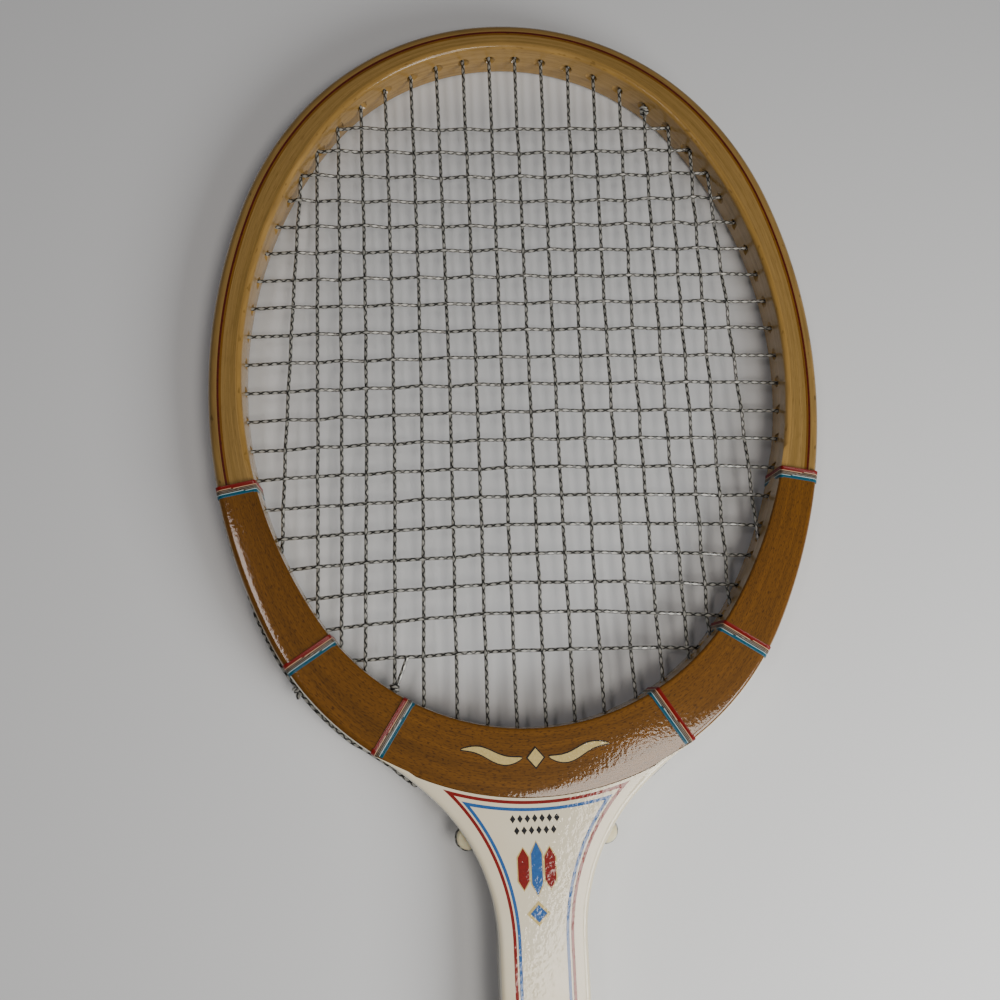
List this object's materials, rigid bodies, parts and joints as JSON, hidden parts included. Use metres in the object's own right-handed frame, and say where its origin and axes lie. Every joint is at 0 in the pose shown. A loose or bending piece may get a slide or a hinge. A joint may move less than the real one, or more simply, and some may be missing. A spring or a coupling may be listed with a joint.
{
  "type": "wooden tennis racket",
  "caption": "Laminated wooden tennis racket with an oval strung head, a wedge-filled throat, a slim painted shaft and an eight-sided leather grip.",
  "frame": {"origin": "centre of the flat end of the butt, which is the outer face of the butt disc", "axes": "+Y runs from the butt to the tip of the head, +X to the right across the string face, +Z out of the front face"},
  "size_m": [0.2326, 0.686, 0.0344],
  "materials": {
    "maple": "brown stained maple ply under clear gloss lacquer",
    "fibre": "dark red vulcanised fibre strip",
    "walnut": "thin walnut veneer under clear gloss lacquer",
    "ash": "honey coloured ash with fine long grain, lacquered",
    "wedge_wood": "beech block, lacquered where it shows",
    "beech": "reddish brown stained beech with short dark flecks, high gloss lacquer",
    "white_lacquer": "wood under off-white gloss lacquer with red and blue line borders",
    "whipping_thread": "fine bound thread in red, cream, brown, pale blue and teal bands, lacquered",
    "string_nylon": "clear nylon with two black spiral threads",
    "saddle_plastic": "cream moulded plastic",
    "grip_leather": "dark brown calfskin with fine pores, spiral wrapped",
    "collar_rubber": "black rubber ring, satin",
    "cap_plastic": "cream moulded plastic, satin",
    "disc_brass": "plain brushed brass disc",
    "nail_steel": "bright steel nails"
  },
  "bodies": {
    "root": {"outer_ply": "maple", "fibre_strip": "fibre", "walnut_ply": "walnut", "ash_ply": "ash", "inner_ring": "ash", "throat_wedge": "wedge_wood", "shaft_core": "walnut", "front_crescent": "beech", "back_crescent": "beech", "front_throat_facing": "white_lacquer", "back_throat_facing": "white_lacquer", "left_upper_whipping": "whipping_thread", "right_upper_whipping": "whipping_thread", "left_middle_whipping": "whipping_thread", "right_middle_whipping": "whipping_thread", "left_lower_whipping": "whipping_thread", "right_lower_whipping": "whipping_thread", "main_strings": "string_nylon", "cross_strings": "string_nylon", "main_string_turns": "string_nylon", "cross_string_turns": "string_nylon", "string_knots": "string_nylon", "left_throat_saddle": "saddle_plastic", "right_throat_saddle": "saddle_plastic", "front_handle_scale": "white_lacquer", "back_handle_scale": "white_lacquer", "leather_grip": "grip_leather", "grip_collar": "collar_rubber", "butt_cap": "cap_plastic", "butt_disc": "disc_brass", "butt_nails": "nail_steel"}
  },
  "joints": []
}
